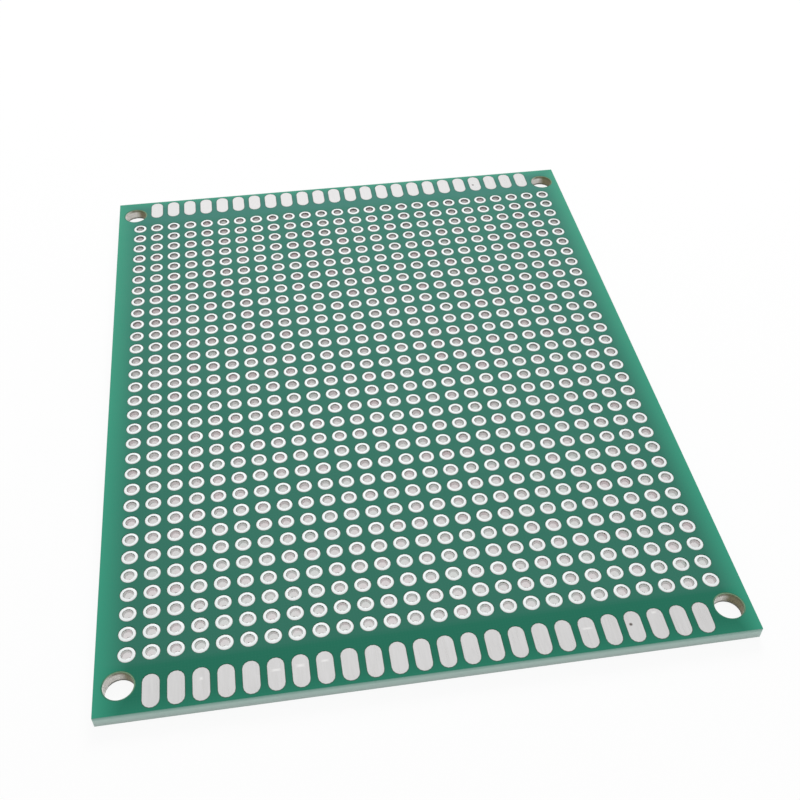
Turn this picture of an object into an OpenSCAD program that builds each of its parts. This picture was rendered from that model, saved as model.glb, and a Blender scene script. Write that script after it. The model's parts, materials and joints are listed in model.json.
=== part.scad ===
// Double-sided prototype board. A square-cornered glass-epoxy panel carries a square
// grid of plated-through component holes, a row of oblong pads along each short end
// and a plain mounting hole in each corner.
// X runs across the board and Y along it, from the front end to the rear end. Z runs up
// from the crowns of the underside pads, which the board rests on.

/* [Board] */
// Width of the board, along X
board_w = 70; // [60:0.5:100]
// Length of the board, along Y
board_l = 90; // [70:0.5:120]
// Thickness of the bare laminate
laminate_t = 1.5; // [0.8:0.1:3.2]
// Thickness of the solder mask on each face
mask_t = 0.03; // [0.015:0.005:0.045]
// Gap between a pad and the edge of its opening in the mask
mask_gap = 0.05; // [0.02:0.01:0.1]

/* [Component holes] */
// Distance from one component hole to the next, both ways
pitch = 2.54; // [2.3:0.01:5.08]
// Finished diameter of a component hole, inside its plating
hole_d = 1.1; // [0.7:0.05:1.2]
// Thickness of the plating on a component hole's wall
plating_t = 0.05; // [0.03:0.01:0.1]
// Width of the tinned ring outside a hole's plated wall
ring_w = 0.35; // [0.25:0.05:0.45]
// Height of every pad's tinned crown over the laminate
pad_t = 0.05; // [0.05:0.01:0.1]
// Width of the slope where a ring's crown rolls into its hole
lip_w = 0.06; // [0.04:0.02:0.14]
// Width of the slope where a ring's crown falls to the laminate outside
ring_slope_w = 0.08; // [0.02:0.02:0.1]
// Least distance from a hole's centre to the board's side edge
side_margin = 3; // [2:0.05:3.25]

/* [End pads] */
// Length of an end pad, along Y
end_pad_l = 3.9; // [2.5:0.1:3.9]
// Width of an end pad, along X
end_pad_w = 1.8; // [1.2:0.1:1.9]
// Distance from an end pad to the board's end edge
end_pad_inset = 0.35; // [0.2:0.05:0.4]
// Least gap between an end pad and the nearest ring
end_gap = 1.6; // [0.5:0.05:1.7]

/* [Mounting holes] */
// Diameter of a mounting hole, which is not plated
mount_hole_d = 3.2; // [2:0.1:3.4]
// Width of the bare ring that the mask leaves round a mounting hole
mount_relief_w = 0.15; // [0.05:0.05:0.3]
// Distance from a mounting hole's centre to the board's side edge
mount_inset_x = 2.5; // [2.2:0.05:2.7]
// Distance from a mounting hole's centre to the board's end edge
mount_inset_y = 3.3; // [2.5:0.05:3.5]

/* [Hidden] */
$fn = 32;

hole_r = hole_d / 2;
drill_r = hole_r + plating_t;
ring_r = drill_r + ring_w;
mask_opening_r = ring_r + mask_gap;

mount_r = mount_hole_d / 2;
relief_r = mount_r + mount_relief_w;
mount_x = board_w / 2 - mount_inset_x;
mount_y = board_l / 2 - mount_inset_y;

// The grid takes as many holes as fit between the side margins and between the end pads.
end_pad_reach = end_pad_inset + end_pad_l;
grid_end_margin = end_pad_reach + end_gap + ring_r;
columns = 1 + floor((board_w - 2 * side_margin) / pitch);
rows = 1 + floor((board_l - 2 * grid_end_margin) / pitch);
column_x = centred(columns, pitch);
row_y = centred(rows, pitch);

// The end pads stand on the grid's columns, apart from those too near a mounting hole.
end_pad_keep_x = mount_x - relief_r - mask_gap - end_pad_w / 2;
end_pad_x = [for (x = column_x) if (abs(x) < end_pad_keep_x) x];
end_pad_y = board_l / 2 - end_pad_inset - end_pad_l / 2;
front = -1;
rear = 1;

underside_z = pad_t;
top_z = underside_z + laminate_t;
board_t = top_z + pad_t;

row_names = [for (j = [1 : rows]) str("plated_row_", j < 10 ? "0" : "", j)];

// The places of count things, step apart, evenly about zero
function centred(count, step) = [for (i = [0 : count - 1]) (i - (count - 1) / 2) * step];

// Is a ring at x, y clear of the bare ring round the mounting hole in its corner?
function clear_of_mount(x, y) =
    norm([mount_x - abs(x), mount_y - abs(y)]) > relief_r + mask_opening_r;

// Children at each component hole of one row
module at_row(y) {
    for (x = column_x) {
        if (clear_of_mount(x, y)) translate([x, y]) children();
    }
}

// Children at every component hole
module at_component_holes() {
    for (y = row_y) at_row(y) children();
}

// Children at each end pad of one end
module at_end_pads(end) {
    for (x = end_pad_x) translate([x, end * end_pad_y]) children();
}

// Children at each mounting hole
module at_mounting_holes() {
    for (sx = [-1, 1], sy = [-1, 1]) translate([sx * mount_x, sy * mount_y]) children();
}

module board_outline() {
    square([board_w, board_l], center = true);
}

// An end pad's outline, wider by grow all round
module end_pad_outline(grow = 0) {
    run = end_pad_l - end_pad_w;
    r = end_pad_w / 2 + grow;
    square([2 * r, run], center = true);
    translate([0, run / 2]) circle(r = r);
    translate([0, -run / 2]) circle(r = r);
}

// The laminate panel, drilled for the plating of each component hole and for the mounting
// holes
module substrate() {
    color("darkseagreen") translate([0, 0, underside_z]) linear_extrude(height = laminate_t) {
        difference() {
            board_outline();
            at_component_holes() circle(r = drill_r);
            at_mounting_holes() circle(r = mount_r);
        }
    }
}

// One face's mask, with its lower side at z, open round the pads and the mounting holes
module solder_mask(z) {
    color("seagreen") translate([0, 0, z]) linear_extrude(height = mask_t) {
        difference() {
            board_outline();
            at_component_holes() circle(r = mask_opening_r);
            at_end_pads(front) end_pad_outline(mask_gap);
            at_end_pads(rear) end_pad_outline(mask_gap);
            at_mounting_holes() circle(r = relief_r);
        }
    }
}

module top_solder_mask() {
    solder_mask(top_z);
}

module underside_solder_mask() {
    solder_mask(underside_z - mask_t);
}

// A plated hole's metal: a barrel through the laminate between two crowned rings
module plated_hole() {
    crown_in = hole_r + lip_w;
    crown_out = ring_r - ring_slope_w;
    rotate_extrude() polygon([
        [hole_r, underside_z],
        [crown_in, 0],
        [crown_out, 0],
        [ring_r, underside_z],
        [drill_r, underside_z],
        [drill_r, top_z],
        [ring_r, top_z],
        [crown_out, board_t],
        [crown_in, board_t],
        [hole_r, top_z]
    ]);
}

module plated_row(y) {
    color("silver") at_row(y) plated_hole();
}

// One end's oblong pads on one face, with their lower side at z
module end_pads(end, z) {
    color("gainsboro") translate([0, 0, z]) linear_extrude(height = pad_t) {
        at_end_pads(end) end_pad_outline();
    }
}

substrate();
top_solder_mask();
underside_solder_mask();
for (j = [0 : rows - 1]) plated_row(row_y[j]);
end_pads(front, top_z);  // top_front_end_pads
end_pads(rear, top_z);  // top_rear_end_pads
end_pads(front, 0);  // underside_front_end_pads
end_pads(rear, 0);  // underside_rear_end_pads
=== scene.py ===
"""Looks of a double-sided prototype board: a green glass-epoxy panel with a grid of tinned
plated holes, oblong tinned pads along both ends and a mounting hole in each corner.

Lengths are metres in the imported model's frame. X runs across the board and Y along it, from the
front end to the rear. Z runs up from the crowns of the underside pads, which the board rests on.
"""
import json
import math

import bmesh
import bpy
from mathutils import Euler, Matrix, Vector


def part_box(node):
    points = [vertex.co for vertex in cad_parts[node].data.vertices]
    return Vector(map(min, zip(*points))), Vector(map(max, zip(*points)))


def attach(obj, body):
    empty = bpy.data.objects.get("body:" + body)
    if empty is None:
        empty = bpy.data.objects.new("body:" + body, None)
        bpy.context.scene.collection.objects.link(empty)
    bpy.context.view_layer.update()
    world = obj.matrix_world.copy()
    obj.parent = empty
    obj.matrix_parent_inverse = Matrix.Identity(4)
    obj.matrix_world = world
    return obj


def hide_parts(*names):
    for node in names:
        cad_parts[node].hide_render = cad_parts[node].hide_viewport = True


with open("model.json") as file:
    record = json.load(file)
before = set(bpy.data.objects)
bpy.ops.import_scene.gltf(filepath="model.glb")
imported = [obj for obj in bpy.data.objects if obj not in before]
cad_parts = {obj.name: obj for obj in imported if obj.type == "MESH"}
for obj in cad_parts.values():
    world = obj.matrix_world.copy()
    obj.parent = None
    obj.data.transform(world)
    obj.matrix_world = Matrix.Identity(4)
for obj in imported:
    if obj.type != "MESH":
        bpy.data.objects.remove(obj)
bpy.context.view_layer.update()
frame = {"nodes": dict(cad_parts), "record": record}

MM = 0.001
X, Y, Z = 0, 1, 2
UP, DOWN = 1, -1
FRONT, REAR = -1, 1


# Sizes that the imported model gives

def mount(name):
    """The sizes of one of the record's mounts"""
    return next(m["dims"] for m in frame["record"]["mounts"] if m["name"] == name)


def box_size(node, axis):
    """The length of a node's box along one axis"""
    low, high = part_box(node)
    return high[axis] - low[axis]


def box_middle(node, axis):
    """Where the middle of a node's box lies on one axis"""
    low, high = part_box(node)
    return (high[axis] + low[axis]) / 2


ROW_NODES = sorted(name for name in frame["nodes"] if name.startswith("plated_row_"))
BOARD_W = box_size("substrate", X)
BOARD_L = box_size("substrate", Y)
UNDER_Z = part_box("substrate")[0][Z]
TOP_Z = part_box("substrate")[1][Z]
MIDDLE_Z = (TOP_Z + UNDER_Z) / 2
LAMINATE_T = TOP_Z - UNDER_Z
CROWN_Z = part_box(ROW_NODES[0])[1][Z]
PAD_RISE = CROWN_Z - TOP_Z
MASK_T = box_size("top_solder_mask", Z)

PITCH = box_middle(ROW_NODES[1], Y) - box_middle(ROW_NODES[0], Y)
RING_R = box_size(ROW_NODES[0], Y) / 2
ROWS = len(ROW_NODES)
COLUMNS = 1 + round((box_size(ROW_NODES[0], X) - 2 * RING_R) / PITCH)
GRID_W = (COLUMNS - 1) * PITCH
GRID_L = (ROWS - 1) * PITCH

HOLE_R = mount("component_hole")["r_mm"] * MM
MOUNT_R = mount("mounting_holes")["hole_r_mm"] * MM
MOUNT_SPAN_X = mount("mounting_holes")["spacing_x_mm"] * MM
MOUNT_SPAN_Y = mount("mounting_holes")["spacing_y_mm"] * MM

END_PAD_L = box_size("top_front_end_pads", Y)
END_PAD_Y = -box_middle("top_front_end_pads", Y)

# Sizes that the boxes don't show, as the solids have them
PLATING_T = 0.05 * MM
MASK_GAP = 0.05 * MM
RELIEF_W = 0.15 * MM
END_PAD_W = 1.8 * MM
END_PADS = 1 + round((box_size("top_front_end_pads", X) - END_PAD_W) / PITCH)

# How finely the round things are cut
DRILLED_SIDES = 12
MASK_OPENING_SIDES = 24
MOUNT_SIDES = 64
SLOT_END_POINTS = 8
RING_SIDES = 16
PAD_END_STEPS = 7

# A ring's section from its foot over the crown and the lip into the barrel: each radius, and its
# height over the laminate as a share of the crown's. LIP is the lip's place in it.
RING_SECTION = (
    (RING_R, 0.0),
    (RING_R - 0.045 * MM, 0.70),
    (RING_R - 0.16 * MM, 1.0),
    (HOLE_R + 0.06 * MM, 0.90),
    (HOLE_R, -5.0),
)
LIP = 3

# The turned-down rim of an end pad: each distance in from the outline, and its height over the
# laminate as a share of the crown's
END_PAD_SECTION = ((0.0, 0.0), (0.012 * MM, 0.75), (0.04 * MM, 0.97))

# Small marks on the upper end pads, in millimetres: x, y, half length and half width of the
# bright scratches, which are partly painted glints, and x, y and radius of the dark pits
PAD_SCRATCH_GLINTS = (
    (-16.51, -42.25, 0.60, 0.20), (-13.97, -42.1, 0.55, 0.24), (-11.43, -41.9, 0.50, 0.18),
    (-24.13, -42.1, 0.24, 0.24), (16.51, -42.2, 0.70, 0.18), (24.13, -41.3, 0.34, 0.20),
)
PAD_PITS = ((21.25, -42.4, 0.24), (21.30, 42.4, 0.22))

# The photograph's camera, from a fit of a plain lens to the hole grid and the outline
CAMERA_PLACE = Vector((-13.07, -102.84, 98.84)) * MM
CAMERA_AIM = Vector((2.09, -5.02, 1.6)) * MM
CAMERA_ROLL = math.radians(0.15)
CAMERA_LENS = 48.37
CAMERA_NEAREST = 0.01

# The studio. The floor lies a hair below the pads, so that the two never share a plane.
WHITE = (1.0, 1.0, 1.0, 1.0)
PALE_GREY = (0.92, 0.92, 0.92, 1.0)
FLOOR_HALF_W = 3.0
FLOOR_Z = -0.01 * MM


def new_object(name, data):
    """A plain object in the scene, at the origin"""
    made = bpy.data.objects.new(name, data)
    bpy.context.scene.collection.objects.link(made)
    return made


# Geometry Nodes

class Nodes:
    """Short calls that the shapes' trees and the materials' trees share"""

    def wire(self, value, socket):
        """Links an output to a socket, or sets a plain value on it"""
        if isinstance(value, bpy.types.NodeSocket):
            self.tree.links.new(value, socket)
        else:
            socket.default_value = value

    def node(self, kind, values=None, **settings):
        """A new node with its sockets set by name or number. Gives its first output."""
        made = self.tree.nodes.new(kind)
        for key, value in settings.items():
            setattr(made, key, value)
        for key, value in (values or {}).items():
            self.wire(value, made.inputs[key])
        return made.outputs[0]

    def maths(self, operation, a, b=0.0, clamp=False):
        """One step of arithmetic, held between 0 and 1 if clamped"""
        return self.node("ShaderNodeMath", {0: a, 1: b}, operation=operation, use_clamp=clamp)

    def plus(self, a, b):
        return self.maths("ADD", a, b)

    def minus(self, a, b):
        return self.maths("SUBTRACT", a, b)

    def times(self, a, b):
        return self.maths("MULTIPLY", a, b)

    def vector(self, x=0.0, y=0.0, z=0.0):
        """Three numbers as one vector"""
        return self.node("ShaderNodeCombineXYZ", {"X": x, "Y": y, "Z": z})


class Tree(Nodes):
    """A Geometry Nodes tree that takes named inputs and gives one geometry"""

    def __init__(self, name, **inputs):
        self.tree = bpy.data.node_groups.new(name, "GeometryNodeTree")
        interface = self.tree.interface
        self.sockets = {}
        for label, kind in inputs.items():
            self.sockets[label] = interface.new_socket(
                label, in_out="INPUT", socket_type="NodeSocket" + kind,
            )
        interface.new_socket("Geometry", in_out="OUTPUT", socket_type="NodeSocketGeometry")
        self.inputs = self.tree.nodes.new("NodeGroupInput")
        self.output = self.tree.nodes.new("NodeGroupOutput")

    def given(self, label):
        """The value of one of the tree's inputs"""
        return self.inputs.outputs[label]

    def span(self, count):
        """The distance from the first to the last of this many places a pitch apart"""
        return self.times(self.minus(self.given(count), 1), self.given("Pitch"))

    def rectangle(self, width, length):
        """An outline about the origin, from the inputs with these names"""
        return self.node("GeometryNodeCurvePrimitiveQuadrilateral", {
            0: self.given(width), 1: self.given(length),
        })

    def circle(self, radius, sides):
        """A round outline about the origin, from the inputs with these names"""
        return self.node("GeometryNodeCurvePrimitiveCircle", {
            "Resolution": self.given(sides), "Radius": self.given(radius),
        })

    def join(self, *parts):
        """The parts as one geometry, in this order"""
        made = self.tree.nodes.new("GeometryNodeJoinGeometry")
        for part in reversed(parts):
            self.tree.links.new(part, made.inputs[0])
        return made.outputs[0]

    def copies(self, shape, spans, counts, turn=(0.0, 0.0, 0.0)):
        """Copies of a shape on a grid of places, evenly about the origin"""
        places = self.node("GeometryNodeMeshGrid", {
            "Size X": spans[X], "Size Y": spans[Y], "Vertices X": counts[X], "Vertices Y": counts[Y],
        })
        return self.node("GeometryNodeInstanceOnPoints", {
            "Points": places, "Instance": shape, "Rotation": turn,
        })

    def end(self, geometry):
        """Makes the instances real, gives them the material and ends the tree"""
        real = self.node("GeometryNodeRealizeInstances", {0: geometry})
        finished = self.node("GeometryNodeSetMaterial", {
            "Geometry": real, "Material": self.given("Material"),
        })
        self.tree.links.new(finished, self.output.inputs[0])

    def build(self, name, **values):
        """The mesh that the tree makes from these values, as a plain object at the origin"""
        holder = new_object(name, bpy.data.meshes.new(name))
        modifier = holder.modifiers.new("shape", "NODES")
        modifier.node_group = self.tree
        for label, socket in self.sockets.items():
            modifier[socket.identifier] = values[label]
        made = holder.evaluated_get(bpy.context.evaluated_depsgraph_get())
        mesh = bpy.data.meshes.new_from_object(made)
        mesh.materials.clear()
        mesh.materials.append(values["Material"])
        holder.modifiers.clear()
        holder.data = mesh
        return holder


def rounded_slot(tree):
    """The outline of one oblong slot"""
    # A little less than half, so that the two rounded corners of an end never meet
    almost_half = 0.4999
    return tree.node("GeometryNodeFilletCurve", {
        "Curve": tree.rectangle("Slot_width", "Slot_length"),
        "Radius": tree.times(tree.given("Slot_width"), almost_half),
        "Count": SLOT_END_POINTS, "Limit Radius": True,
    }, mode="POLY")


def thick_sheet(tree, outlines):
    """A flat face between the outlines, raised by the sheet's thickness, closed below and set
    at its height"""
    same_place = 0.001 * MM
    face = tree.node("GeometryNodeFillCurve", {0: outlines}, mode="TRIANGLES")
    raised = tree.node("GeometryNodeExtrudeMesh", {
        "Mesh": face, "Offset": tree.vector(z=1.0), "Offset Scale": tree.given("Thickness"),
        "Individual": False,
    }, mode="FACES")
    lower = tree.node("GeometryNodeFlipFaces", {"Mesh": face})
    closed = tree.node("GeometryNodeMergeByDistance", {
        "Geometry": tree.join(raised, lower), "Distance": same_place,
    })
    return tree.node("GeometryNodeTransform", {
        "Geometry": closed, "Translation": tree.vector(z=tree.given("Base")),
    })


def drilled_sheet_tree():
    """A flat sheet with a grid of round holes, a row of oblong slots along each end and a
    round hole in each corner. With no slot columns it has no slots."""
    tree = Tree(
        "drilled_sheet", Width="Float", Length="Float", Thickness="Float", Base="Float",
        Hole_radius="Float", Hole_sides="Int", Pitch="Float", Columns="Int", Rows="Int",
        Slot_width="Float", Slot_length="Float", Slot_columns="Int", Slot_span_y="Float",
        Corner_radius="Float", Corner_sides="Int", Corner_span_x="Float", Corner_span_y="Float",
        Material="Material",
    )
    outline = tree.rectangle("Width", "Length")
    holes = tree.copies(
        tree.circle("Hole_radius", "Hole_sides"),
        spans=(tree.span("Columns"), tree.span("Rows")),
        counts=(tree.given("Columns"), tree.given("Rows")),
    )
    slots = tree.copies(
        rounded_slot(tree),
        spans=(tree.span("Slot_columns"), tree.given("Slot_span_y")),
        counts=(tree.given("Slot_columns"), 2),
    )
    corners = tree.copies(
        tree.circle("Corner_radius", "Corner_sides"),
        spans=(tree.given("Corner_span_x"), tree.given("Corner_span_y")),
        counts=(2, 2),
    )
    outlines = tree.node("GeometryNodeRealizeInstances", {
        0: tree.join(outline, holes, slots, corners),
    })
    tree.end(thick_sheet(tree, outlines))
    return tree


def tin_lumps(tree):
    """How far each point of the tin is pushed, by smooth noise in lumps of the given size"""
    noise = tree.node("ShaderNodeTexNoise", {
        "Scale": tree.maths("DIVIDE", 1.0, tree.given("Lump_size")), "Detail": 1.0,
    })
    both_ways = tree.node("ShaderNodeVectorMath", {
        0: noise.node.outputs["Color"], 1: (0.5, 0.5, 0.5),
    }, operation="SUBTRACT")
    width = tree.given("Lump_width")
    return tree.node("ShaderNodeVectorMath", {
        0: both_ways, 1: tree.vector(width, width, tree.given("Lump_height")),
    }, operation="MULTIPLY")


def pad_grid_tree():
    """Copies of one pad on a grid, each turned its own way by a whole number of its sides, with
    the tin's surface a little uneven"""
    tree = Tree(
        "pad_grid", Pad="Object", Pitch="Float", Columns="Int", Rows="Int", Span_y="Float",
        Turn_step="Float", Turns="Int", Seed="Int", Lump_size="Float", Lump_width="Float",
        Lump_height="Float", Material="Material",
    )
    pad = tree.node("GeometryNodeObjectInfo", {"Object": tree.given("Pad"), "As Instance": True})
    steps = tree.node("FunctionNodeRandomValue", {
        "Max": tree.given("Turns"), "Seed": tree.given("Seed"),
    }, data_type="INT")
    copies = tree.copies(
        pad.node.outputs["Geometry"],
        spans=(tree.span("Columns"), tree.given("Span_y")),
        counts=(tree.given("Columns"), tree.given("Rows")),
        turn=tree.vector(z=tree.times(steps.node.outputs[2], tree.given("Turn_step"))),
    )
    pads = tree.node("GeometryNodeRealizeInstances", {0: copies})
    tree.end(tree.node("GeometryNodeSetPosition", {"Geometry": pads, "Offset": tin_lumps(tree)}))
    return tree


# Meshes that the trees copy

def mesh_object(name, shape):
    """An object from a bmesh, with its faces turned outwards and shaded smooth"""
    bmesh.ops.recalc_face_normals(shape, faces=shape.faces)
    for face in shape.faces:
        face.smooth = True
    mesh = bpy.data.meshes.new(name)
    shape.to_mesh(mesh)
    shape.free()
    return new_object(name, mesh)


def stretch_loops(shape, loops):
    """Faces between loops of points, each joined to the next. Gives the loops' corners."""
    rings = [[shape.verts.new(p) for p in loop] for loop in loops]
    for a, b in zip(rings, rings[1:]):
        for i in range(len(a)):
            j = (i + 1) % len(a)
            shape.faces.new((a[i], a[j], b[j], b[i]))
    return rings


def sharpen(shape, ring):
    """Shades the edges round one ring of corners sharp, and all the others soft"""
    corners = set(ring)
    for edge in shape.edges:
        edge.smooth = not corners.issuperset(edge.verts)


def face_height(side):
    """The height of the laminate's upper face or of its underside"""
    return TOP_Z if side == UP else UNDER_Z


def circle(radius, z, sides):
    """Points round a circle"""
    turn = 2 * math.pi / sides
    return [(radius * math.cos(i * turn), radius * math.sin(i * turn), z) for i in range(sides)]


def stadium(width, length, z):
    """Points round an oblong with half-round ends"""
    r = width / 2
    run = (length - width) / 2
    points = []
    for end, start in ((REAR, 0.0), (FRONT, math.pi)):
        for i in range(PAD_END_STEPS + 1):
            a = start + math.pi * i / PAD_END_STEPS
            points.append((r * math.cos(a), end * run + r * math.sin(a), z))
    return points


def half_plated_hole(name, side):
    """The upper or the underside half of one plated hole: from the ring's foot on the laminate
    over its crown and down the barrel to the middle of the board"""
    shape = bmesh.new()
    loops = [
        circle(r, face_height(side) + side * share * PAD_RISE, RING_SIDES)
        for r, share in RING_SECTION
    ]
    loops.append(circle(HOLE_R, MIDDLE_Z, RING_SIDES))
    rings = stretch_loops(shape, loops)
    sharpen(shape, rings[LIP])
    return mesh_object(name, shape)


def oblong_pad(name, side):
    """One end pad: copper with the tin turned down at its rim and flat inside"""
    shape = bmesh.new()
    rings = stretch_loops(shape, [
        stadium(
            END_PAD_W - 2 * inset, END_PAD_L - 2 * inset,
            face_height(side) + side * share * PAD_RISE,
        )
        for inset, share in END_PAD_SECTION
    ])
    shape.faces.new(rings[-1])
    sharpen(shape, rings[-1])
    return mesh_object(name, shape)


# Materials

class Look(Nodes):
    """A material's node tree, with short calls for what the finishes share"""

    def __init__(self, name):
        self.material = bpy.data.materials.new(name)
        self.material.use_nodes = True
        self.tree = self.material.node_tree
        self.shader = self.tree.nodes["Principled BSDF"]
        self.place = self.node("ShaderNodeTexCoord").node.outputs["Object"]

    def set(self, **values):
        """Sets the shader's own sockets, with _ for a space in their names"""
        for key, value in values.items():
            self.wire(value, self.shader.inputs[key.replace("_", " ")])

    def axis(self, letter, vector=None):
        """One axis of the place on the piece, or of another vector"""
        parts = self.node("ShaderNodeSeparateXYZ", {0: vector or self.place})
        return parts.node.outputs[letter]

    def past(self, letter, place):
        """How far a point lies past a place on one axis"""
        return self.minus(self.axis(letter), place)

    def rise(self):
        """Height over the laminate's nearer face, less than nothing inside the laminate"""
        return self.minus(self.maths("ABSOLUTE", self.past("Z", MIDDLE_Z)), LAMINATE_T / 2)

    def length(self, across, along):
        """How long the straight line across and along is"""
        line = self.node("ShaderNodeVectorMath", {0: self.vector(across, along)}, operation="LENGTH")
        return line.node.outputs["Value"]

    def stretched(self, x, y, z):
        """The place on the piece, with each axis measured in these lengths"""
        return self.node("ShaderNodeMapping", {
            "Vector": self.place, "Scale": (1 / x, 1 / y, 1 / z),
        })

    def noise(self, *size, detail=2.0, roughness=0.5):
        """Soft noise between 0 and 1 with features of about this size, or of these three sizes
        along X, Y and Z"""
        x, y, z = size if len(size) == 3 else size * 3
        return self.node("ShaderNodeTexNoise", {
            "Vector": self.stretched(x, y, z), "Scale": 1.0, "Detail": detail,
            "Roughness": roughness,
        })

    def threads(self, letter, x, y):
        """Slightly wavy bands between 0 and 1 that follow each other along one axis"""
        return self.node("ShaderNodeTexWave", {
            "Vector": self.stretched(x, y, 1.0), "Scale": 1.0, "Distortion": 0.6, "Detail": 1.0,
        }, wave_type="BANDS", bands_direction=letter)

    def ramp(self, value, low, high, to_low=0.0, to_high=1.0):
        """Takes value from low..high to to_low..to_high, and holds it there"""
        return self.node("ShaderNodeMapRange", {
            "Value": value, "From Min": low, "From Max": high, "To Min": to_low, "To Max": to_high,
        })

    def mix(self, factor, a, b):
        """The colour a, going over to b as the factor rises. The node's sockets go by number,
        because those for colours share their names with others."""
        made = self.tree.nodes.new("ShaderNodeMix")
        made.data_type = "RGBA"
        self.wire(factor, made.inputs[0])
        self.wire(a, made.inputs[6])
        self.wire(b, made.inputs[7])
        return made.outputs[2]

    def bump(self, height, distance, strength):
        """Raises the surface by the height, up to a distance"""
        raised = self.node("ShaderNodeBump", {
            "Height": height, "Distance": distance, "Strength": strength,
        })
        self.wire(raised, self.shader.inputs["Normal"])


def srgb(red, green, blue):
    """A colour written as the photograph's 0 to 255 values, made linear"""
    def linear(v):
        v /= 255
        return v / 12.92 if v <= 0.04045 else ((v + 0.055) / 1.055) ** 2.4
    return (linear(red), linear(green), linear(blue), 1.0)


def painted_edge_glow(look):
    """Painted glow for light that enters the mask at the board's cut edges, from 0 to 1. It
    reaches farther in from the left side than from the right, and is stronger at the rear end."""
    left_reach = 3.4 * MM
    right_reach = 2.6 * MM
    end_reach = 1.8 * MM
    full_glow = 0.2 * MM
    front_strength = 0.25
    rear_strength = 0.9
    x = look.axis("X")
    y = look.axis("Y")
    from_side = look.minus(BOARD_W / 2, look.maths("ABSOLUTE", x))
    from_end = look.minus(BOARD_L / 2, look.maths("ABSOLUTE", y))
    side_reach = look.ramp(x, -MM, MM, to_low=left_reach, to_high=right_reach)
    end_strength = look.ramp(y, -MM, MM, to_low=front_strength, to_high=rear_strength)
    side_glow = look.ramp(from_side, side_reach, full_glow)
    end_glow = look.times(look.ramp(from_end, end_reach, 0.0), end_strength)
    return look.maths("MAXIMUM", side_glow, end_glow)


def solder_mask_look():
    """Satin green lacquer over a faint glass weave, lighter and bluer towards the rear as painted
    sheen. The plain strips past the grid's ends have their own greens, the rear one lighter partly
    as painted sheen, and the margins are a little brighter with a painted glow."""
    front_green = srgb(30, 103, 84)
    rear_sheen_green = srgb(24, 111, 95)
    clouded_green = srgb(52, 124, 104)
    front_strip_green = srgb(2, 105, 81)
    rear_strip_sheen_green = srgb(40, 117, 103)
    painted_glow_green = srgb(45, 147, 119)
    thread_green = srgb(58, 130, 108)
    thread_pitch = 1.1 * MM
    thread_length = 40 * MM
    strip_fade = 0.8 * MM
    grid_end = GRID_L / 2 + RING_R

    look = Look("solder_mask")
    y = look.axis("Y")
    # Painted sheen: the green lightens from front to rear, standing for a reflection on the lacquer
    # that grows towards the rear
    green = look.mix(look.ramp(y, -BOARD_L / 2, BOARD_L / 2), front_green, rear_sheen_green)
    cloud = look.noise(14 * MM, detail=3.0)
    tone = look.mix(look.times(cloud, 0.4), green, clouded_green)
    front_strip = look.ramp(y, -grid_end, -grid_end - strip_fade)
    tone = look.mix(front_strip, tone, front_strip_green)
    # Partly painted sheen: the rear strip's green is lighter than the front strip's
    rear_strip = look.ramp(y, grid_end, grid_end + strip_fade)
    tone = look.mix(rear_strip, tone, rear_strip_sheen_green)
    # Painted light: the margins take a brighter green as a painted glow
    tone = look.mix(painted_edge_glow(look), tone, painted_glow_green)

    weave = look.times(
        look.threads("X", thread_pitch, thread_length),
        look.threads("Y", thread_length, thread_pitch),
    )
    tone = look.mix(look.times(weave, 0.08), tone, thread_green)
    roughness = look.ramp(look.noise(2.5 * MM), 0.3, 0.7, to_low=0.34, to_high=0.42)
    look.set(Base_Color=tone, Roughness=roughness, Specular_IOR_Level=0.28)
    grain = look.noise(0.5 * MM, detail=3.0)
    look.bump(look.plus(look.times(weave, 0.5), grain), distance=0.004 * MM, strength=0.5)
    return look.material


def tin_ring_look():
    """Tin levelled by hot air: soft on the ring, and lighter there than the end pads' tin as a
    painted highlight; greyer and almost a mirror down the barrel, in a slightly different tint from
    hole to hole, and dull grey at the ring's foot as a painted shade"""
    highlit_ring_silver = srgb(236, 240, 240)
    highlit_ring_white = srgb(246, 250, 250)
    warm_barrel = srgb(224, 217, 218)
    cool_barrel = srgb(218, 221, 219)
    foot_shade_grey = srgb(165, 174, 172)
    foot_w = 0.08 * MM
    ring_roughness = 0.36
    barrel_roughness = 0.16
    rougher_foot = 0.3

    look = Look("tin_rings")
    on_ring = look.ramp(look.rise(), 0.25 * PAD_RISE, 0.75 * PAD_RISE)
    # Painted highlight: the ring's tin is lighter than the same tin on the end pads, for the light
    # that its curved crown catches
    ring = look.mix(look.noise(1.3 * MM), highlit_ring_silver, highlit_ring_white)
    tint = look.ramp(look.noise(2.1 * MM, detail=1.0), 0.35, 0.65)
    barrel = look.mix(tint, warm_barrel, cool_barrel)
    across = look.maths("PINGPONG", look.past("X", -GRID_W / 2), PITCH / 2)
    along = look.maths("PINGPONG", look.past("Y", -GRID_L / 2), PITCH / 2)
    # Painted shade: a dull grey outline round each ring's foot, where the tin rounds down to the
    # laminate, which is also made rougher there
    foot = look.ramp(look.length(across, along), RING_R - foot_w, RING_R)
    tone = look.mix(foot, look.mix(on_ring, barrel, ring), foot_shade_grey)
    polish = look.ramp(on_ring, 0.0, 1.0, to_low=barrel_roughness, to_high=ring_roughness)
    roughness = look.maths("ADD", polish, look.times(foot, rougher_foot), clamp=True)
    look.set(Base_Color=tone, Metallic=1.0, Roughness=roughness)
    grain = look.noise(0.4 * MM, detail=3.0)
    look.bump(look.times(on_ring, grain), distance=0.02 * MM, strength=0.5)
    return look.material


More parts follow.
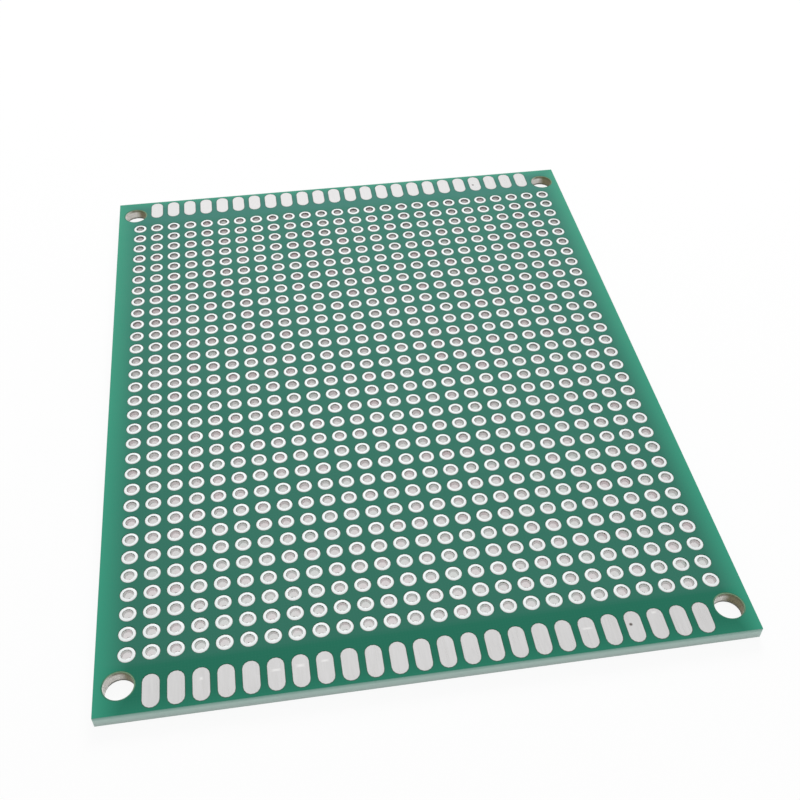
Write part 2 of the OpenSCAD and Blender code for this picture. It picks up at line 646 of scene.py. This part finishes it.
def marked(look, tone):
    """The tone with the scratches and the pits of the upper end pads on it, the scratches painted
    bright partly as glints. Each mark fades in from its edge to its middle."""
    scratch_glint_white = srgb(240, 239, 238)
    pit_brown = srgb(104, 96, 92)
    upper = look.maths("GREATER_THAN", look.axis("Z"), MIDDLE_Z)
    for x, y, half_length, half_width in PAD_SCRATCH_GLINTS:
        across = look.maths("ABSOLUTE", look.past("X", x * MM))
        along = look.maths("ABSOLUTE", look.past("Y", y * MM))
        far_off = look.maths(
            "MAXIMUM",
            look.maths("DIVIDE", across, half_length * MM),
            look.maths("DIVIDE", along, half_width * MM),
        )
        # Partly painted glint: each scratch is lightened towards white
        scratch_glint = look.ramp(far_off, 1.0, 0.1)
        tone = look.mix(look.times(upper, scratch_glint), tone, scratch_glint_white)
    for x, y, radius in PAD_PITS:
        far_off = look.length(look.past("X", x * MM), look.past("Y", y * MM))
        pit = look.ramp(far_off, radius * MM, 0.4 * radius * MM)
        tone = look.mix(look.times(upper, pit), tone, pit_brown)
    return tone


def tin_end_pad_look():
    """The same tin lying nearly flat, with faint runs along the pads and a few small marks on
    the upper face"""
    pad_silver = srgb(211, 210, 209)
    pale_patch = srgb(217, 216, 216)
    pale_run = srgb(220, 219, 219)
    rim_shade_grey = srgb(152, 160, 157)

    look = Look("tin_end_pads")
    runs = look.noise(0.22 * MM, 3.0 * MM, 1.0 * MM)
    tone = look.mix(look.noise(3.0 * MM), pad_silver, pale_patch)
    tone = look.mix(look.ramp(runs, 0.35, 0.75), tone, pale_run)
    tone = marked(look, tone)
    # Painted shade: each pad's turned-down rim is drawn dull grey, as a dark outline
    rim = look.ramp(look.rise(), 0.95 * PAD_RISE, 0.80 * PAD_RISE)
    tone = look.mix(rim, tone, rim_shade_grey)
    roughness = look.ramp(runs, 0.3, 0.7, to_low=0.27, to_high=0.36)
    look.set(Base_Color=tone, Metallic=1.0, Roughness=roughness)
    look.bump(look.plus(runs, look.noise(0.8 * MM)), distance=0.008 * MM, strength=0.3)
    return look.material


def cut_edge_look():
    """The sawn edge of the laminate: pale resin with lines of glass cloth along it, green under
    the upper mask and greyer towards the underside"""
    resin = srgb(160, 190, 181)
    pale_resin = srgb(184, 208, 200)
    glass = srgb(196, 208, 203)
    mask_green = srgb(70, 142, 122)
    under_grey = srgb(176, 184, 182)

    look = Look("laminate_cut_edge")
    height = look.ramp(look.axis("Z"), UNDER_Z, TOP_Z)
    streaks = look.noise(6 * MM, 6 * MM, 0.09 * MM, detail=3.0, roughness=0.6)
    fibre = look.noise(0.7 * MM, 0.7 * MM, 0.05 * MM)
    tone = look.mix(streaks, resin, pale_resin)
    tone = look.mix(look.times(fibre, 0.35), tone, glass)
    tone = look.mix(look.ramp(height, 0.60, 1.0, to_high=0.8), tone, mask_green)
    tone = look.mix(look.ramp(height, 0.45, 0.0, to_high=0.6), tone, under_grey)
    look.set(Base_Color=tone, Roughness=0.62)
    look.bump(look.plus(streaks, fibre), distance=0.03 * MM, strength=0.5)
    return look.material


def drilled_wall_look():
    """The bare wall of a mounting hole, with painted light and shade: pale white as if lit where the
    wall turns towards +X, olive as if shaded elsewhere, an olive band under the upper rim and a dark
    line at the lower rim, both fading out where the wall faces +X most squarely"""
    shaded_dark_olive = srgb(112, 106, 76)
    shaded_light_olive = srgb(142, 136, 106)
    lit_dull_white = srgb(240, 236, 232)
    lit_bright_white = srgb(255, 253, 250)
    band_olive = srgb(98, 102, 66)
    line_grey = srgb(84, 84, 74)

    look = Look("laminate_drilled_wall")
    height = look.ramp(look.axis("Z"), UNDER_Z, TOP_Z)
    rings = look.noise(2.5 * MM, 2.5 * MM, 0.10 * MM, detail=3.0)
    # Painted light and shade: walls turned towards +X take the pale lit whites, the others the olive
    # shaded tones
    facing = look.axis("X", look.node("ShaderNodeTexCoord").node.outputs["Normal"])
    painted_light_side = look.plus(facing, look.times(rings, 0.3))
    resin = look.mix(rings, shaded_dark_olive, shaded_light_olive)
    glass = look.mix(rings, lit_dull_white, lit_bright_white)
    tone = look.mix(look.ramp(painted_light_side, -0.30, 0.20), resin, glass)
    upper_band = look.times(look.ramp(height, 0.70, 0.80), look.ramp(painted_light_side, 0.95, 0.45))
    tone = look.mix(look.times(upper_band, 0.85), tone, band_olive)
    lower_line = look.times(look.ramp(height, 0.17, 0.12), look.ramp(painted_light_side, 1.1, 0.8))
    tone = look.mix(look.times(lower_line, 0.85), tone, line_grey)
    look.set(Base_Color=tone, Roughness=0.55)
    look.bump(rings, distance=0.03 * MM, strength=0.5)
    return look.material


def bare_laminate_look():
    """The laminate's face where the mask leaves it open: dark green round the pads as a painted
    shade in the narrow gaps, and round the mounting holes a brighter ring with a pale crescent of
    painted light on its right rear side"""
    gap_shade_green = srgb(44, 96, 72)
    gap_soft_shade_green = srgb(60, 112, 86)
    ring_green = srgb(34, 112, 86)
    lit_crescent_green = srgb(104, 140, 108)
    ring_outer_r = 2.2 * MM
    ring_inner_r = 2.0 * MM

    look = Look("laminate_bare_face")
    # Painted shade: the bare face is dark green, for the shade in the narrow gap between pad and
    # mask
    tone = look.mix(look.noise(0.6 * MM), gap_shade_green, gap_soft_shade_green)
    x = look.axis("X")
    y = look.axis("Y")
    across = look.minus(x, look.times(look.maths("SIGN", x), MOUNT_SPAN_X / 2))
    along = look.minus(y, look.times(look.maths("SIGN", y), MOUNT_SPAN_Y / 2))
    to_right_rear = look.plus(look.times(across, 0.5), look.times(along, 0.85))
    # Painted light: the ring round each mounting hole is paler towards its right rear side
    crescent = look.ramp(to_right_rear, -0.6 * MM, 0.7 * MM)
    ring = look.mix(crescent, ring_green, lit_crescent_green)
    near_hole = look.ramp(look.length(across, along), ring_outer_r, ring_inner_r)
    look.set(Base_Color=look.mix(near_hole, tone, ring), Roughness=0.5)
    return look.material


# The board's pieces

def add(piece, slot, *nodes):
    """Puts a finished piece on the board's body, in place of the solids that it stands for"""
    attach(piece, "root")
    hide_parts(*nodes)
    return piece


def is_wall(face):
    """Does a sheet's face stand upright, on an edge or in a hole?"""
    return abs(face.normal.z) < 0.5


def finish_faces(piece):
    """Turns a sheet's faces outwards and shades the walls of its holes smooth, with its square
    corners left sharp"""
    sharp_turn = math.radians(34)
    shape = bmesh.new()
    shape.from_mesh(piece.data)
    bmesh.ops.recalc_face_normals(shape, faces=shape.faces)
    for face in shape.faces:
        face.smooth = is_wall(face)
    for edge in shape.edges:
        between_walls = all(is_wall(face) for face in edge.link_faces)
        edge.smooth = between_walls and edge.calc_face_angle(0) < sharp_turn
    shape.to_mesh(piece.data)
    shape.free()


def drilled_sheet(tree, name, **values):
    """A sheet of the board's outline, with its holes on the grid and in the corners"""
    piece = tree.build(
        name, Width=BOARD_W, Length=BOARD_L, Pitch=PITCH, Columns=COLUMNS, Rows=ROWS,
        Corner_sides=MOUNT_SIDES, Corner_span_x=MOUNT_SPAN_X, Corner_span_y=MOUNT_SPAN_Y,
        Slot_span_y=2 * END_PAD_Y, **values,
    )
    finish_faces(piece)
    return piece


def make_laminate(tree, bare_face, cut_edge, drilled_wall):
    """The drilled panel, with one material on its faces, one round its outline and one in its
    holes"""
    piece = drilled_sheet(
        tree, "laminate_panel", Thickness=LAMINATE_T, Base=UNDER_Z,
        Hole_radius=HOLE_R + PLATING_T, Hole_sides=DRILLED_SIDES,
        Slot_width=END_PAD_W, Slot_length=END_PAD_L, Slot_columns=0,
        Corner_radius=MOUNT_R, Material=bare_face,
    )
    for wall_material in (cut_edge, drilled_wall):
        piece.data.materials.append(wall_material)
    in_outline, in_hole = 1, 2
    near = 0.01 * MM
    for face in piece.data.polygons:
        if is_wall(face):
            x, y = face.center.xy
            at_edge = abs(x) > BOARD_W / 2 - near or abs(y) > BOARD_L / 2 - near
            face.material_index = in_outline if at_edge else in_hole
    return add(piece, "laminate", "substrate")


def make_solder_masks(tree, lacquer):
    """The green skins of both faces, which have the same openings"""
    upper = drilled_sheet(
        tree, "upper_mask", Thickness=MASK_T, Base=TOP_Z,
        Hole_radius=RING_R + MASK_GAP, Hole_sides=MASK_OPENING_SIDES,
        Slot_width=END_PAD_W + 2 * MASK_GAP, Slot_length=END_PAD_L + 2 * MASK_GAP,
        Slot_columns=END_PADS, Corner_radius=MOUNT_R + RELIEF_W, Material=lacquer,
    )
    lower = new_object("lower_mask", upper.data.copy())
    lower.data.transform(Matrix.Translation((0, 0, UNDER_Z - MASK_T - TOP_Z)))
    add(upper, "solder_mask", "top_solder_mask")
    add(lower, "solder_mask", "underside_solder_mask")


def make_rings(tree, name, side, seed, tin):
    """Every plated hole's ring and half barrel on one side of the board"""
    pad = half_plated_hole(name + "_pattern", side)
    piece = tree.build(
        name, Pad=pad, Pitch=PITCH, Columns=COLUMNS, Rows=ROWS, Span_y=GRID_L,
        Turn_step=2 * math.pi / RING_SIDES, Turns=RING_SIDES - 1, Seed=seed,
        Lump_size=0.7 * MM, Lump_width=0.06 * MM, Lump_height=0.012 * MM, Material=tin,
    )
    bpy.data.objects.remove(pad)
    return add(piece, "tin_rings", *ROW_NODES)


def make_end_pads(tree, name, node, side, end, tin):
    """The row of oblong pads along one end, on one side of the board"""
    pad = oblong_pad(name + "_pattern", side)
    pad.data.transform(Matrix.Translation((0, end * END_PAD_Y, 0)))
    piece = tree.build(
        name, Pad=pad, Pitch=PITCH, Columns=END_PADS, Rows=1, Span_y=0.0,
        Turn_step=0.0, Turns=0, Seed=7,
        Lump_size=1.6 * MM, Lump_width=0.04 * MM, Lump_height=0.0, Material=tin,
    )
    bpy.data.objects.remove(pad)
    return add(piece, "tin_end_pads", node)


def make_board():
    """Every piece of the board, with its materials"""
    sheet = drilled_sheet_tree()
    pads = pad_grid_tree()
    make_laminate(sheet, bare_laminate_look(), cut_edge_look(), drilled_wall_look())
    make_solder_masks(sheet, solder_mask_look())
    ring_tin = tin_ring_look()
    make_rings(pads, "upper_rings", UP, 3, ring_tin)
    make_rings(pads, "lower_rings", DOWN, 4, ring_tin)
    pad_tin = tin_end_pad_look()
    for side, face in ((UP, "top"), (DOWN, "underside")):
        for end, where in ((FRONT, "front"), (REAR, "rear")):
            node = f"{face}_{where}_end_pads"
            make_end_pads(pads, f"{face}_{where}_oblong_pads", node, side, end, pad_tin)


# Camera, light and floor

def make_camera():
    """The camera at the photograph's place"""
    data = bpy.data.cameras.new("camera")
    data.lens = CAMERA_LENS
    data.clip_start = CAMERA_NEAREST
    camera = new_object("camera", data)
    camera.location = CAMERA_PLACE
    turn = (CAMERA_AIM - CAMERA_PLACE).to_track_quat("-Z", "Y").to_matrix()
    roll = Euler((0, 0, CAMERA_ROLL)).to_matrix()
    camera.rotation_euler = (turn @ roll).to_euler()
    bpy.context.scene.camera = camera


class Surroundings(Look):
    """The world's node tree, made with a material's short calls"""

    def __init__(self, world):
        world.use_nodes = True
        self.tree = world.node_tree
        self.shader = self.tree.nodes["Background"]
        self.place = self.node("ShaderNodeTexCoord").node.outputs["Object"]


def mirrored_rays(look, rays):
    """1 for light on its way to a reflection or through something clear, otherwise 0"""
    return look.maths(
        "MAXIMUM", rays.outputs["Is Glossy Ray"], rays.outputs["Is Transmission Ray"],
    )


def make_world():
    """Even white light all round. The camera sees plain white, reflections see white with a
    slightly darker ceiling, and dull surfaces get less."""
    on_dull_surfaces = 0.7
    ceiling = 0.86
    wall_top = 0.55
    ceiling_edge = 0.92
    world = bpy.data.worlds.new("studio")
    bpy.context.scene.world = world
    look = Surroundings(world)
    rays = look.node("ShaderNodeLightPath").node
    room = look.ramp(look.axis("Z"), wall_top, ceiling_edge, to_low=1.0, to_high=ceiling)
    direct = look.ramp(rays.outputs["Is Camera Ray"], 0.0, 1.0, to_low=on_dull_surfaces)
    more = look.times(mirrored_rays(look, rays), look.minus(room, on_dull_surfaces))
    look.set(Color=WHITE, Strength=look.plus(direct, more))


def make_lamp(name, place, width, watts, glints=True):
    """A round soft lamp aimed at the board's middle. Without glints it lights dull surfaces only
    and never shows in tin."""
    data = bpy.data.lights.new(name, "AREA")
    data.shape = "DISK"
    data.size = width
    data.energy = watts
    lamp = new_object(name, data)
    lamp.location = place
    lamp.rotation_euler = (-Vector(place)).to_track_quat("-Z", "Y").to_euler()
    lamp.visible_glossy = glints


def make_floor():
    """A wide pale floor under the board, white to the camera apart from the board's shadow"""
    own_light = 0.9
    look = Look("floor_paper")
    look.set(Base_Color=PALE_GREY, Roughness=0.9)
    rays = look.node("ShaderNodeLightPath").node
    seen = look.maths("MAXIMUM", rays.outputs["Is Camera Ray"], mirrored_rays(look, rays))
    white = look.node("ShaderNodeEmission", {"Color": WHITE, "Strength": 1.0})
    paper = look.node("ShaderNodeMixShader", {
        0: look.times(seen, own_light), 1: look.shader.outputs[0], 2: white,
    })
    look.wire(paper, look.tree.nodes["Material Output"].inputs["Surface"])

    shape = bmesh.new()
    shape.faces.new([
        shape.verts.new((x * FLOOR_HALF_W, y * FLOOR_HALF_W, FLOOR_Z))
        for x, y in ((-1, -1), (1, -1), (1, 1), (-1, 1))
    ])
    floor = mesh_object("floor", shape)
    floor.data.materials.append(look.material)


make_camera()
make_world()
make_floor()
make_lamp("key", place=(0.10, 0.36, 0.26), width=0.25, watts=1.16, glints=False)
make_lamp("rear_softbox", place=(0.05, 0.85, 0.75), width=0.60, watts=0.31)
make_board()
bpy.context.scene.view_settings.view_transform = "Standard"
